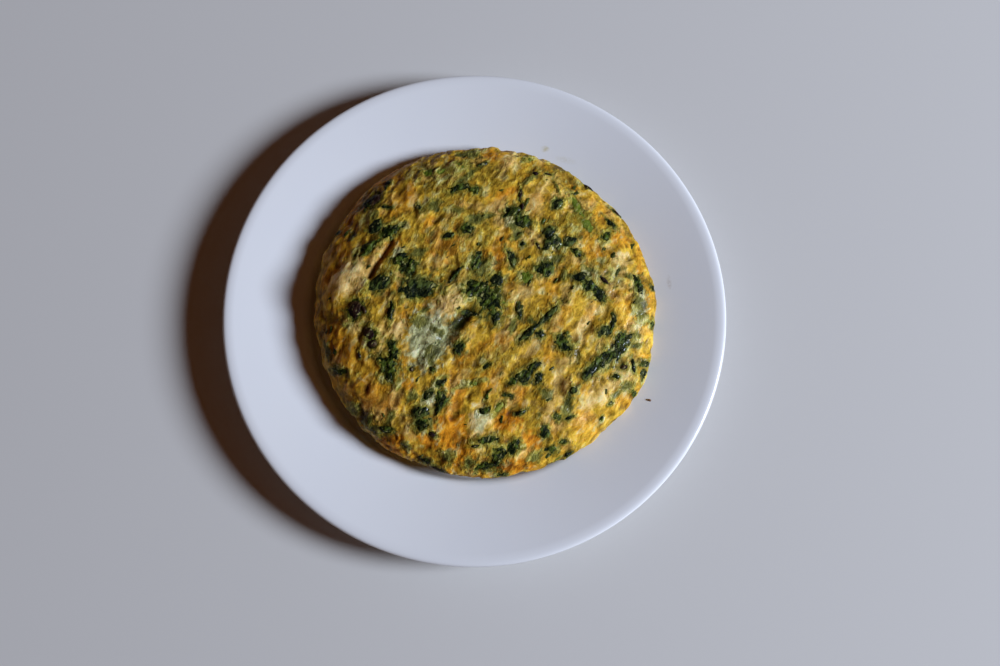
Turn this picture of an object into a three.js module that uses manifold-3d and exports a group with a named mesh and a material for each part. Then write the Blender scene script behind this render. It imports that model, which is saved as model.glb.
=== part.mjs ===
// A round omelette with chopped greens cooked into it, on its white plate with a wide rim.
// Millimetres, +Z up. The origin is the centre of the plate's underside, where its foot stands.
import * as THREE from 'three';
import { mergeVertices } from 'three/addons/utils/BufferGeometryUtils.js';
import Module from 'manifold-3d';

const wasm = await Module();
wasm.setup();

// Plate
const plateRadius = 135;
const plateHeight = 20.5;
const footRadius = 78; // middle of the ring that the plate stands on
const footWidth = 5;
const footDepth = 2.6; // how far the ring stands below the underside
const footDraft = 1.5; // the ring's sides lean by this much
const footBlend = 0.5; // the outer side of the ring meets the underside this much higher
const wellRadius = 83; // flat middle of the upper face
const wellFloor = 6.4;
const wellBend = 4; // reach of the curve from the well's floor into its wall
const rimStart = 93.5; // here the well's wall has become the wide straight rim
const rimStartHeight = 13.7;
const rimBend = 3.4; // reach of the curve from the wall into the rim
const crestWidth = 2.8; // from the rim's highest line to the plate's edge
const crestTurn = 4.6; // the rim's slope, drawn on, is as high as its crest this far from the edge
const crestSpan = 6.6; // the rim starts to level off this far from the edge
const edgeDrop = 1.7; // the plate is widest this far below its crest
const undersideBelly = 4.6; // height that the underside's curve draws to, between foot and rim
const clayThickness = 3.6;
const lipThickness = 3.2;
const plateSegments = 60;
const curveSteps = 3;

// Omelette
const omeletteCentre = new THREE.Vector2(5.7, 1.2); // it lies a little to the right of the middle
const omeletteRadius = 90.6;
const omeletteHeight = 31; // at its middle
const girthHeight = 14; // its widest level, above its underside
const baseRadius = 68; // flat underside, in from the girth because the edge was tucked under
const domeFlatness = 3.8; // larger is flatter on top, with a sharper shoulder
const domeLean = 0.05; // it was turned out thicker on one side: the top sinks this much for each mm to the right
const shoulderRoundness = 1.65;
const tuckRoundness = 1.4;
const tuckSpacing = 1.3; // larger puts more of the tucked rings near the underside
const restGap = 0.3; // between the omelette and the plate
const omeletteSegments = 84;
const domeRings = 26;
const domeSamples = 200; // points of the exact section that the rings are spaced along
const tuckRings = 4;

// The outline isn't a true circle: swells of so many waves, height in mm and place in degrees.
const outlineSwells = [
  { waves: 2, height: 1.0, at: -32 },
  { waves: 3, height: 0.55, at: -9 },
  { waves: 7, height: 0.35, at: 20 },
  { waves: 11, height: 0.3, at: 5 },
];

// Small folds and curds run from lower left to upper right, drawn out along this direction.
const grainAngle = 50;
const grainStretch = 0.55;
const curdSeed = 20;
const topCurds = { count: 170, radius: [3.5, 8], height: [-0.8, 1.2], reach: 0.96 };
const edgeCurds = { count: 60, radius: [4, 8], height: [-0.7, 1.0], level: [0.7, 1.5] };
const curdSharpness = 2; // larger makes each curd fall off sooner
const reliefStart = 0.3; // share of the girth's height where the curds begin to show
const dropLimit = 0.985; // points from above aren't set further out than this share

// The curds and hollows that show plainly: place from the omelette's centre, radius and height.
const bigCurds = [
  { x: -72, y: 13, radius: 10, height: 1.3 },
  { x: -18, y: -4, radius: 10, height: 1.6 },
  { x: -2, y: -65, radius: 7, height: 1.4 },
  { x: 69, y: 25, radius: 8, height: 1.1 },
  { x: 14, y: 62, radius: 7, height: 1.0 },
  { x: -13, y: 28, radius: 9, height: 1.1 },
  { x: 10, y: -31, radius: 6, height: 1.0 },
  { x: 26, y: -18, radius: 5, height: 0.9 },
  { x: 81, y: -39, radius: 7, height: 1.0 },
  { x: 15, y: -82, radius: 8, height: 0.8 },
  { x: 5, y: -62, radius: 5, height: -1.6 },
  { x: -30, y: -24, radius: 9, height: -0.9 },
];

// Creases where one fold lies on the next: from and to, width and depth.
const creases = [
  { from: [-48, 35], to: [-62, 15], width: 3, depth: 1.5 },
  { from: [-8, -6], to: [-20, -20], width: 4, depth: 2.0 },
  { from: [59, -7], to: [47, -19], width: 2.5, depth: 1.2 },
  { from: [12, -36], to: [28, -22], width: 2.5, depth: 1.0 },
  { from: [40, -48], to: [36, -30], width: 3, depth: 1.0 },
];

// Pieces of leaf that lie in the top: x, y from the omelette's centre, length, width, turn.
const leafPieces = [
  [-57, 62, 8, 5.5, 65], [-62, 56, 7, 5.5, 40], [-68, -4, 10, 7.5, 80], [-60, -18, 9, 6.5, -60],
  [-58, 42, 8, 6.5, 25], [-50, 38, 11, 6.5, 25], [-61, 30, 12.5, 5, 35], [-40, 20, 8, 7.5, 0],
  [-55, 10, 11.5, 7, 25], [-34, 5, 17.5, 7.5, 5], [-49, -6, 9, 3.5, 80], [-14, 63, 11.5, 4, 15],
  [-13, 76, 8, 5.5, 15], [-26, 74, 12.5, 4, 5], [-10, 40, 8, 5, 50], [-4, 46, 9, 4.5, 20],
  [-4, 21, 10, 6, 65], [-3, 7, 9.5, 8.5, 20], [3, 0, 14, 9, -70], [7, 12, 7, 6.5, 0],
  [16, 49, 9, 6, 25], [22, 44, 8, 5, -28], [14, 24, 9, 4, -70], [36, 35, 12, 7, -50],
  [46, 33, 8, 5, 0], [31, 19, 9, 7, 30], [39, 55, 6.5, 5, 35], [51, 51, 18, 4.5, -65],
  [65, 38, 7.5, 4, 65], [68, 46, 7, 3, -45], [50, 14, 8, 5, 0], [56, 9, 10, 4.5, -45],
  [82, 12, 9, 4, -70], [82, 0, 11.5, 5, -85], [34, -6, 14.5, 3.5, 45], [21, -17, 11, 3.5, 45],
  [42, -22, 11, 6.5, -40], [64, -13, 8, 5, 30], [72, -19, 10, 7, 40], [67, -26, 13, 7.5, 45],
  [57, -34, 12, 5.5, 37], [22, -38, 11, 6, 30], [43, -55, 10, 4, 75], [31, -67, 8, 4.5, -70],
  [15, -75, 8, 5.5, 50], [7, -79, 10, 5.5, 70], [1, -72, 9.5, 3.5, 5], [-23, -50, 9, 5, 50],
  [-33, -60, 10, 7.5, 20], [-29, -48, 8, 3.5, 40], [-50, -35, 12.5, 7, -70],
  [-47, -25, 8, 5, 60], [-13, -24, 6, 5.5, 60], [-76, -35, 8.5, 3.5, -15], [-50, -63, 9, 4.5, -30],
];
const leafAcross = 4;
const leafDeep = 2;
const leafProud = 0.7; // its face above the egg around it
const leafSunk = 1.3; // its other face, inside the egg
const leafWave = 0.3;
const leafTip = 0.4; // width at its ends, of its full width

// Repeatable random numbers from 0 to 1.
function seededRandom(seed) {
  let state = seed;
  return () => {
    state = (state + 0x6d2b79f5) | 0;
    let mixed = Math.imul(state ^ (state >>> 15), 1 | state);
    mixed = (mixed + Math.imul(mixed ^ (mixed >>> 7), 61 | mixed)) ^ mixed;
    return ((mixed ^ (mixed >>> 14)) >>> 0) / 2 ** 32;
  };
}

// The half section of the plate: underside, foot, rounded edge, rim, well.
function plateProfile() {
  const footInside = footRadius - footWidth / 2;
  const footOutside = footRadius + footWidth / 2;
  const slope = (plateHeight - rimStartHeight) / (plateRadius - crestTurn - rimStart);
  const rimEnd = plateRadius - crestSpan;
  const rimEndHeight = plateHeight - (crestSpan - crestTurn) * slope;
  const edgeHeight = plateHeight - edgeDrop;
  const wall = [(wellRadius + rimStart) / 2, (wellFloor + rimStartHeight) / 2];
  const outline = new THREE.Path();
  outline.moveTo(0, footDepth);
  outline.lineTo(footInside - footDraft, footDepth);
  outline.lineTo(footInside, 0);
  outline.lineTo(footOutside, 0);
  outline.lineTo(footOutside + footDraft, footDepth + footBlend);
  outline.quadraticCurveTo(rimStart - wellBend, undersideBelly, rimStart, rimStartHeight - clayThickness);
  outline.lineTo(rimEnd, rimEndHeight - lipThickness);
  outline.quadraticCurveTo(plateRadius, edgeHeight - edgeDrop, plateRadius, edgeHeight);
  outline.quadraticCurveTo(plateRadius, plateHeight, plateRadius - crestWidth, plateHeight);
  outline.quadraticCurveTo(plateRadius - crestTurn, plateHeight, rimEnd, rimEndHeight);
  outline.lineTo(rimStart, rimStartHeight);
  outline.quadraticCurveTo(rimStart - rimBend, rimStartHeight - rimBend * slope, ...wall);
  outline.quadraticCurveTo(wellRadius + wellBend, wellFloor, wellRadius, wellFloor);
  outline.lineTo(0, wellFloor);
  return outline.getPoints(curveSteps);
}

// A closed profile turned round +Z.
function turned(profile, segments) {
  return new THREE.LatheGeometry(profile, segments).rotateX(Math.PI / 2);
}

function outlineRadius(angle) {
  const swell = outlineSwells.reduce(
    (sum, s) => sum + s.height * Math.cos(s.waves * (angle - THREE.MathUtils.degToRad(s.at))), 0);
  return omeletteRadius + swell;
}

// How far the middle line of the dome, at a distance to the right, stands above the girth.
function crownAbove(x) {
  return omeletteHeight - girthHeight - domeLean * x;
}

// Height of the smooth dome above its underside, at a share of the way out to its girth.
function domeHeight(share, x) {
  return girthHeight + crownAbove(x) * (1 - share ** domeFlatness) ** (1 / shoulderRoundness);
}

// Half section of the omelette: flat underside, tucked edge, girth, dome.
function omeletteProfile() {
  const tuck = [];
  for (let i = 0; i < tuckRings; i += 1) {
    const height = girthHeight * (i / tuckRings) ** tuckSpacing;
    const inward = (1 - height / girthHeight) ** tuckRoundness;
    const reach = (1 - inward) ** (1 / tuckRoundness);
    tuck.push(new THREE.Vector2(baseRadius + (omeletteRadius - baseRadius) * reach, height));
  }
  const fine = [];
  for (let i = 0; i <= domeSamples; i += 1) {
    const share = Math.sin((1 - i / domeSamples) * Math.PI / 2);
    fine.push(new THREE.Vector2(omeletteRadius * share, domeHeight(share, 0)));
  }
  const dome = new THREE.SplineCurve(fine).getSpacedPoints(domeRings);
  dome[domeRings].x = 0;
  return [new THREE.Vector2(0, 0), ...tuck, ...dome];
}

// The curds of the whole surface, each a soft bump or hollow at a point on the smooth dome.
function scatterCurds() {
  const random = seededRandom(curdSeed);
  const between = ([low, high]) => THREE.MathUtils.lerp(low, high, random());
  const curds = bigCurds.map((c) => ({ centre: domePoint(c.x, c.y), ...c }));
  for (let i = 0; i < topCurds.count; i += 1) {
    const reach = omeletteRadius * topCurds.reach * Math.sqrt(random());
    const angle = 2 * Math.PI * random();
    const centre = domePoint(reach * Math.cos(angle), reach * Math.sin(angle));
    curds.push({ centre, radius: between(topCurds.radius), height: between(topCurds.height) });
  }
  for (let i = 0; i < edgeCurds.count; i += 1) {
    const angle = 2 * Math.PI * random();
    const reach = outlineRadius(angle);
    const level = girthHeight * between(edgeCurds.level);
    const centre = new THREE.Vector3(reach * Math.cos(angle), reach * Math.sin(angle), level);
    curds.push({ centre, radius: between(edgeCurds.radius), height: between(edgeCurds.height) });
  }
  return curds;
}

function domePoint(x, y) {
  const share = Math.hypot(x, y) / outlineRadius(Math.atan2(y, x));
  return new THREE.Vector3(x, y, domeHeight(Math.min(share, dropLimit), x));
}

// Outward direction of the smooth dome at a point on it; level with the plate below the girth.
function outward(point) {
  const reach = outlineRadius(Math.atan2(point.y, point.x));
  const share = Math.hypot(point.x, point.y) / reach;
  const rise = Math.max(0, (point.z - girthHeight) / crownAbove(point.x));
  const steep = domeFlatness * share ** (domeFlatness - 1) / reach;
  const flat = shoulderRoundness * rise ** (shoulderRoundness - 1) / crownAbove(point.x);
  const level = Math.hypot(point.x, point.y) || 1;
  const leaned = flat * rise * domeLean;
  return new THREE.Vector3(steep * point.x / level + leaned, steep * point.y / level, flat).normalize();
}

const curds = scatterCurds();
const grain = THREE.MathUtils.degToRad(grainAngle);

// How far the egg stands out from, or in from, the smooth dome.
function relief(point) {
  let height = 0;
  for (const curd of curds) {
    const dx = point.x - curd.centre.x;
    const dy = point.y - curd.centre.y;
    const along = (dx * Math.cos(grain) + dy * Math.sin(grain)) * grainStretch;
    const across = dy * Math.cos(grain) - dx * Math.sin(grain);
    const distance = Math.hypot(along, across, point.z - curd.centre.z) / curd.radius;
    height += curd.height * Math.exp(-(distance ** 2) * curdSharpness);
  }
  for (const crease of creases) {
    const from = new THREE.Vector3(...crease.from, 0);
    const to = new THREE.Vector3(...crease.to, 0);
    const here = new THREE.Vector3(point.x, point.y, 0);
    const nearest = new THREE.Line3(from, to).closestPointToPoint(here, true, new THREE.Vector3());
    height -= crease.depth * Math.exp(-((here.distanceTo(nearest) / crease.width) ** 2));
  }
  return height * THREE.MathUtils.smoothstep(point.z, girthHeight * reliefStart, girthHeight);
}

// The body of egg: the turned profile, fitted to the outline, leaned and pushed out by its relief.
function omeletteBody() {
  const geometry = turned(omeletteProfile(), omeletteSegments);
  const places = geometry.getAttribute('position');
  for (let i = 0; i < places.count; i += 1) {
    const point = new THREE.Vector3().fromBufferAttribute(places, i);
    const fit = outlineRadius(Math.atan2(point.y, point.x)) / omeletteRadius;
    const rise = Math.max(0, (point.z - girthHeight) / crownAbove(0));
    point.set(point.x * fit, point.y * fit, point.z - domeLean * point.x * fit * rise);
    point.addScaledVector(outward(point), relief(point));
    places.setXYZ(i, ...point);
  }
  return geometry;
}

// A piece of leaf: a thin wavy solid that follows the egg, both faces split alike.
function leafPiece([x, y, length, width, turn], index) {
  const sheet = new THREE.PlaneGeometry(2, 2, leafAcross, leafDeep);
  const flat = sheet.getAttribute('position');
  const angle = THREE.MathUtils.degToRad(turn);
  const corners = [];
  for (const lift of [leafProud, -leafSunk]) {
    for (let i = 0; i < flat.count; i += 1) {
      const u = flat.getX(i);
      const taper = leafTip + (1 - leafTip) * (1 - u ** 2);
      const along = u * length / 2;
      const across = flat.getY(i) * taper * width / 2;
      const px = x + along * Math.cos(angle) - across * Math.sin(angle);
      const py = y + along * Math.sin(angle) + across * Math.cos(angle);
      const foot = domePoint(px, py);
      const wave = leafWave * Math.sin(3 * u + 2 * flat.getY(i) + index);
      corners.push(...foot.addScaledVector(outward(foot), relief(foot) + lift + wave));
    }
  }
  const faces = [];
  const top = sheet.getIndex().array;
  for (let i = 0; i < top.length; i += 3) {
    faces.push(top[i], top[i + 1], top[i + 2]);
    faces.push(top[i] + flat.count, top[i + 2] + flat.count, top[i + 1] + flat.count);
  }
  const edge = sheetEdge(leafAcross, leafDeep);
  edge.forEach((here, i) => {
    const next = edge[(i + 1) % edge.length];
    faces.push(here, here + flat.count, next, next, here + flat.count, next + flat.count);
  });
  const geometry = new THREE.BufferGeometry();
  geometry.setAttribute('position', new THREE.Float32BufferAttribute(corners, 3));
  geometry.setIndex(faces);
  return geometry;
}

// Corner numbers round the edge of a plane's grid, counterclockwise from its lower left.
function sheetEdge(across, deep) {
  const row = across + 1;
  const edge = [];
  for (let i = 0; i < across; i += 1) edge.push(deep * row + i);
  for (let i = deep; i > 0; i -= 1) edge.push(i * row + across);
  for (let i = across; i > 0; i -= 1) edge.push(i);
  for (let i = 0; i < deep; i += 1) edge.push(i * row);
  return edge;
}

function toSolid(geometry) {
  geometry.deleteAttribute('normal');
  geometry.deleteAttribute('uv');
  const merged = mergeVertices(geometry, 1e-4);
  const vertProperties = merged.getAttribute('position').array;
  const triVerts = new Uint32Array(merged.getIndex().array);
  return new wasm.Manifold(new wasm.Mesh({ numProp: 3, vertProperties, triVerts }));
}

function toGeometry(solid) {
  const mesh = solid.getMesh();
  const geometry = new THREE.BufferGeometry();
  geometry.setAttribute('position', new THREE.BufferAttribute(mesh.vertProperties, 3));
  geometry.setIndex(new THREE.BufferAttribute(mesh.triVerts, 1));
  geometry.computeVertexNormals();
  return geometry;
}

function makePlate() {
  const glaze = new THREE.MeshStandardMaterial({ color: 0xe9ebee, roughness: 0.22, metalness: 0 });
  const plate = new THREE.Mesh(turned(plateProfile(), plateSegments), glaze);
  plate.name = 'plate';
  return plate;
}

function makeOmelette() {
  const egg = new THREE.MeshStandardMaterial({ color: 0xc79a45, roughness: 0.45, metalness: 0 });
  const leaves = leafPieces.map((leaf, index) => toSolid(leafPiece(leaf, index)));
  const whole = leaves.reduce((sum, leaf) => sum.add(leaf), toSolid(omeletteBody()));
  const omelette = new THREE.Mesh(toGeometry(whole), egg);
  omelette.name = 'omelette';
  omelette.position.set(omeletteCentre.x, omeletteCentre.y, wellFloor + restGap);
  return omelette;
}

const servedOmelette = new THREE.Group();
servedOmelette.add(makePlate(), makeOmelette());

export default servedOmelette;
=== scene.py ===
import math
import random

import bmesh
import bpy
import numpy as np
from mathutils import Matrix, Vector, noise
from mathutils.kdtree import KDTree


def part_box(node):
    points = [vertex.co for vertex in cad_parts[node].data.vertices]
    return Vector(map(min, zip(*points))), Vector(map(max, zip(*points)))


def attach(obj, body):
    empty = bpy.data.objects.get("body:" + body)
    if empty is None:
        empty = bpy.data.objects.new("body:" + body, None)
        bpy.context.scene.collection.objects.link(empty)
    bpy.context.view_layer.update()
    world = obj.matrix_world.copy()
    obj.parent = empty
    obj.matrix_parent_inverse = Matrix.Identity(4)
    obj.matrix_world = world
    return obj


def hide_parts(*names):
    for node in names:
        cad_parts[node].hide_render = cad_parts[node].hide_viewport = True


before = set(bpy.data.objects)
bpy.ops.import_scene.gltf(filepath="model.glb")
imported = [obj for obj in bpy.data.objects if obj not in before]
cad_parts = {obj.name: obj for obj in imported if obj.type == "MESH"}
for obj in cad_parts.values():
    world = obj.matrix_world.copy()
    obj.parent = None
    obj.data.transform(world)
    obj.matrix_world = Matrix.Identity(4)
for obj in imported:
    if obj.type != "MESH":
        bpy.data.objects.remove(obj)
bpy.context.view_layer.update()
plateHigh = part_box("plate")[1]
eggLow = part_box("omelette")[0]
mm = 0.001


# helpers for meshes and nodes

def addPiece(name, bm, material):
    mesh = bpy.data.meshes.new(name)
    bm.to_mesh(mesh)
    bm.free()
    mesh.polygons.foreach_set("use_smooth", [True] * len(mesh.polygons))
    mesh.materials.append(material)
    piece = bpy.data.objects.new(name, mesh)
    bpy.context.scene.collection.objects.link(piece)
    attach(piece, "root")
    print(name, len(mesh.polygons), "faces")
    return piece


def addValues(piece, name, values):  # one number for each point of the mesh
    attribute = piece.data.attributes.new(name, "FLOAT", "POINT")
    attribute.data.foreach_set("value", np.asarray(values, np.float32))


def setInputs(tree, node, inputs):  # a socket is linked, a plain value is set
    for name, value in inputs.items():
        if isinstance(value, bpy.types.NodeSocket):
            tree.links.new(value, node.inputs[name])
        else:
            node.inputs[name].default_value = value


def addNode(tree, kind, inputs=None, **settings):
    node = tree.nodes.new(kind)
    for name, value in settings.items():
        setattr(node, name, value)
    setInputs(tree, node, inputs or {})
    return node


def mixColour(tree, factor, first, second):  # a colour mix has its colours at 6 and 7
    return addNode(tree, "ShaderNodeMix", {0: factor, 6: first, 7: second}, data_type="RGBA").outputs[2]


def mapValue(tree, value, fromLow, fromHigh, toLow=0.0, toHigh=1.0):
    ranges = {"Value": value, "From Min": fromLow, "From Max": fromHigh, "To Min": toLow, "To Max": toHigh}
    return addNode(tree, "ShaderNodeMapRange", ranges).outputs["Result"]


def mathNode(tree, operation, first, second):
    return addNode(tree, "ShaderNodeMath", {0: first, 1: second}, operation=operation).outputs[0]


def weightedSum(tree, parts):  # values with their weights
    total = mathNode(tree, "MULTIPLY", *parts[0])
    for part in parts[1:]:
        total = mathNode(tree, "ADD", total, mathNode(tree, "MULTIPLY", *part))
    return total


def bumpNode(tree, height, strength, distance):
    ranges = {"Height": height, "Strength": strength, "Distance": distance}
    return addNode(tree, "ShaderNodeBump", ranges).outputs[0]


def readValue(tree, name):
    return addNode(tree, "ShaderNodeAttribute", attribute_name=name).outputs["Fac"]


def newMaterial(name):
    material = bpy.data.materials.new(name)
    material.use_nodes = True
    tree = material.node_tree
    tree.nodes.clear()
    shader = addNode(tree, "ShaderNodeBsdfPrincipled")
    addNode(tree, "ShaderNodeOutputMaterial", {"Surface": shader.outputs[0]})
    return material, tree, shader


def objectPlace(tree):
    return addNode(tree, "ShaderNodeTexCoord").outputs["Object"]


def newGroup(name, inputs, outputs):  # the names of the sockets with their kinds
    group = bpy.data.node_groups.new(name, "ShaderNodeTree")
    for way, sockets in (("INPUT", inputs), ("OUTPUT", outputs)):
        for socket, kind in sockets.items():
            group.interface.new_socket(socket, in_out=way, socket_type="NodeSocket" + kind)
    return group, addNode(group, "NodeGroupInput").outputs


def smooth(low, high, value):  # from 0 at low to 1 at high
    share = min(1.0, max(0.0, (value - low) / (high - low)))
    return share * share * (3 - 2 * share)


# plate: white glazed, the half section is turned round Z

plate = {
    # mm, as the solid has them
    "footRadius": 78, "footWidth": 5, "footDepth": 2.6, "footDraft": 1.5,
    "wellRadius": 83, "wellFloor": 6.4, "rimStart": 93.5, "rimStartHeight": 13.7,
    "crestWidth": 2.8, "crestTurn": 4.6, "crestSpan": 6.6, "edgeDrop": 1.7, "clay": 3.6,
    # mm, where the soft curves of its section turn
    "footFlank": (0.6, 0.9), "footCorner": (0.3, 0.4), "soleRound": 0.5, "footTop": 1,
    "underTurn": (4, 4.6), "underStart": 1, "lipUnder": (2, 0.4), "lipTurn": 1.6,
    "rimTurn": 3.4, "wallShift": 0.3, "wellTurn": 4.0,
    "steps": 240, "curveSteps": 10, "straightSteps": 10,
    "glaze": (0.80, 0.80, 0.80, 1), "secondGlaze": (0.78, 0.785, 0.80, 1), "roughness": 0.16,
    "waveScale": 28, "waveStrength": 0.08, "waveDepth": 0.001,
}


def bend(start, control, end):  # a soft curve between two points of a section
    points = []
    for step in range(plate["curveSteps"] + 1):
        t = step / plate["curveSteps"]
        points.append(tuple((1 - t) ** 2 * a + 2 * t * (1 - t) * c + t * t * b
                            for a, c, b in zip(start, control, end)))
    return points


def straight(start, end):  # without its two ends
    steps = plate["straightSteps"]
    return [tuple(a + (b - a) * step / steps for a, b in zip(start, end)) for step in range(1, steps)]


def plateSection(radius, height):  # from the middle of the underside out to the lip, and back over the top
    p = plate
    footIn = p["footRadius"] - p["footWidth"] / 2
    footOut = p["footRadius"] + p["footWidth"] / 2
    footWall = footIn - p["footDraft"]
    slope = (height - p["rimStartHeight"]) / (radius - p["crestTurn"] - p["rimStart"])
    crest = (radius - p["crestWidth"], height)
    rimEnd = (radius - p["crestSpan"], height - (p["crestSpan"] - p["crestTurn"]) * slope)
    rimStart = (p["rimStart"], p["rimStartHeight"])
    edge = (radius, height - p["edgeDrop"])
    under = (p["rimStart"] + p["underStart"], p["rimStartHeight"] - p["clay"])
    lipUnder = (rimEnd[0] + p["lipUnder"][0], rimEnd[1] - p["clay"] + p["lipUnder"][1])
    wall = ((p["wellRadius"] + p["rimStart"]) / 2 + p["wallShift"],
            (p["wellFloor"] + p["rimStartHeight"]) / 2)
    well = (p["wellRadius"], p["wellFloor"])
    flank, flankHeight = p["footFlank"]
    corner, cornerHeight = p["footCorner"]
    sole = p["soleRound"]
    points = [(0, p["footDepth"])]
    points += bend((footWall - p["footTop"], p["footDepth"]), (footWall, p["footDepth"]),
                   (footIn - flank, flankHeight))
    points += bend((footIn - corner, cornerHeight), (footIn, 0), (footIn + sole, 0))
    points += bend((footOut - sole, 0), (footOut, 0), (footOut + corner, cornerHeight))
    points += bend((footOut + p["footDraft"], p["footDepth"] + sole),
                   (p["rimStart"] - p["underTurn"][0], p["underTurn"][1]), under)
    points += straight(under, lipUnder)
    points += bend(lipUnder, (radius, edge[1] - p["lipTurn"]), edge)
    points += bend(edge, (radius, height), crest)[1:]
    points += bend(crest, (radius - p["crestTurn"], height), rimEnd)[1:]
    points += straight(rimEnd, rimStart)
    points += bend(rimStart, (p["rimStart"] - p["rimTurn"], p["rimStartHeight"] - p["rimTurn"] * slope), wall)
    points += bend(wall, (p["wellRadius"] + p["wellTurn"], p["wellFloor"]), well)[1:]
    points += straight(well, (0, p["wellFloor"]))
    points.append((0, p["wellFloor"]))
    return points


# thin smears of oil and egg that lie on the glaze: place and half size in mm, turn in degrees
stains = [
    {"at": (38.6, 93.5), "half": (2.8, 2.2), "turn": 0, "colour": (0.55, 0.48, 0.22, 1), "strength": 0.75},
    {"at": (50, 87), "half": (7, 2.2), "turn": -15, "colour": (0.62, 0.58, 0.42, 1), "strength": 0.35},
    {"at": (105.2, 17.3), "half": (1.5, 4.5), "turn": 5, "colour": (0.45, 0.36, 0.25, 1), "strength": 0.45},
]
stainLook = {"height": 17, "halfDepth": 20, "grainScale": 700, "grain": (0.3, 0.6), "full": 0.7}


def addStain(tree, place, under, stain):
    x, y = stain["at"]
    length, width = stain["half"]
    shift = addNode(tree, "ShaderNodeMapping", {
        "Vector": place, "Location": (x * mm, y * mm, stainLook["height"] * mm),
        "Rotation": (0, 0, math.radians(stain["turn"])),
        "Scale": (length * mm, width * mm, stainLook["halfDepth"] * mm),
    }, vector_type="TEXTURE")
    ball = addNode(tree, "ShaderNodeTexGradient", {"Vector": shift.outputs[0]}, gradient_type="SPHERICAL")
    grain = addNode(tree, "ShaderNodeTexNoise",
                    {"Vector": place, "Scale": stainLook["grainScale"], "Detail": 2})
    patchy = mapValue(tree, grain.outputs["Fac"], *stainLook["grain"])
    soft = mathNode(tree, "MULTIPLY", ball.outputs["Fac"], patchy)
    factor = mapValue(tree, soft, 0, stainLook["full"], 0, stain["strength"])
    return mixColour(tree, factor, under, stain["colour"])


def makeGlaze():
    material, tree, shader = newMaterial("whiteGlaze")
    place = objectPlace(tree)
    wave = addNode(tree, "ShaderNodeTexNoise", {"Vector": place, "Scale": plate["waveScale"], "Detail": 2})
    tint = mixColour(tree, wave.outputs["Fac"], plate["glaze"], plate["secondGlaze"])
    for stain in stains:
        tint = addStain(tree, place, tint, stain)
    ripple = bumpNode(tree, wave.outputs["Fac"], plate["waveStrength"], plate["waveDepth"])
    setInputs(tree, shader, {"Base Color": tint, "Roughness": plate["roughness"], "Normal": ripple})
    return material


def makePlate():
    bm = bmesh.new()
    points = plateSection(plateHigh.x / mm, plateHigh.z / mm)
    section = [bm.verts.new((r * mm, 0, z * mm)) for r, z in points]
    edges = [bm.edges.new(pair) for pair in zip(section, section[1:])]
    bmesh.ops.spin(bm, geom=section + edges, cent=(0, 0, 0), axis=(0, 0, 1), dvec=(0, 0, 0),
                   angle=2 * math.pi, steps=plate["steps"], use_merge=True, use_duplicate=False)
    bmesh.ops.remove_doubles(bm, verts=bm.verts, dist=0.001 * mm)
    bmesh.ops.recalc_face_normals(bm, faces=bm.faces)
    piece = addPiece("dinnerPlate", bm, makeGlaze())
    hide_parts("plate")


# omelette: the smooth form, in mm from its own centre, heights above its underside

egg = {
    "centre": (5.7, 1.2), "radius": 90.6, "height": 31, "girth": 14, "base": 68,
    "flatness": 3.8, "shoulder": 1.65, "tuck": 1.4, "tuckSlope": 0.6, "lean": 0.05,
    "swells": [(2, 1.0, -32), (3, 0.55, -9), (7, 0.35, 20), (11, 0.3, 5)],  # waves, height, place in degrees
    "gridSteps": 290, "quickSteps": 120, "crownSteps": 300, "tuckSteps": 60, "underRings": (0.95, 0.5, 0),
    "steepFrom": 0.965, "steepWay": 1.6,  # past this share of the radius a place lies so much further down
    "grain": 50, "fineGrain": 62,  # degrees, the way the folds run
    "bigCurds": [  # x, y, radius, height
        (-76, 9, 9, 2.6), (-18, -4, 10, 1.6), (-2, -65, 7, 1.4), (69, 25, 8, 1.1), (14, 62, 7, 1.0),
        (-13, 28, 9, 1.1), (10, -31, 6, 1.0), (26, -18, 5, 0.9), (81, -39, 7, 1.0), (15, -82, 8, 0.8),
        (5, -62, 5, -1.6), (-30, -24, 9, -0.9),
    ],
    "seed": 20, "curdCount": 230, "curdReach": 0.97, "curdRadius": (3.5, 8), "curdHeight": (-0.7, 0.9),
    "curdStretch": 0.55, "curdSearch": 15,
    "creases": [  # from x, y, to x, y, width, depth
        (-50, 32, -61, 14, 1.5, 2.4), (-8, -5, -21, -20, 3.4, 2.8), (59, -7, 47, -19, 2.5, 1.2),
        (12, -36, 28, -22, 2.5, 1.0), (40, -48, 36, -30, 3, 1.0),
    ],
    "creaseShade": 0.2,  # painted shade: how much darker each mm of a crease is
    "bendPeriod": 6, "bendReach": 2.8,  # mm, how the fine folds wander
    "reliefFade": (0.2, 0.9),  # shares of the girth's height between which the relief sets in
    "calmLeafy": 0.5, "calmFilmed": 0.75,  # how much flatter the folds are there
}

noise.seed_set(egg["seed"])  # the vector noise would be seeded by the clock


def outlineAt(angle):  # how far out the girth stands
    return egg["radius"] + sum(h * math.cos(n * (angle - math.radians(at))) for n, h, at in egg["swells"])


def domeHeight(share):
    rise = (1 - share ** egg["flatness"]) ** (1 / egg["shoulder"])
    return egg["girth"] + (egg["height"] - egg["girth"]) * rise


def eggSection():  # from the crown over the girth to the edge of the flat underside
    points = []
    for step in range(egg["crownSteps"] + 1):
        share = math.sin(step / egg["crownSteps"] * math.pi / 2)
        points.append((egg["radius"] * share, domeHeight(share)))
    for step in range(1, egg["tuckSteps"] + 1):
        height = egg["girth"] * (1 - step / egg["tuckSteps"])
        inward = (1 - height / egg["girth"]) ** egg["tuck"]
        reach = max(0.0, 1 - inward) ** (1 / egg["tuck"])
        points.append((egg["base"] + (egg["radius"] - egg["base"]) * reach, height))
    return np.array(points)


section = eggSection()
sectionWay = np.concatenate([[0], np.cumsum(np.hypot(*np.diff(section, axis=0).T))])
wayLength = sectionWay[-1]


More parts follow.
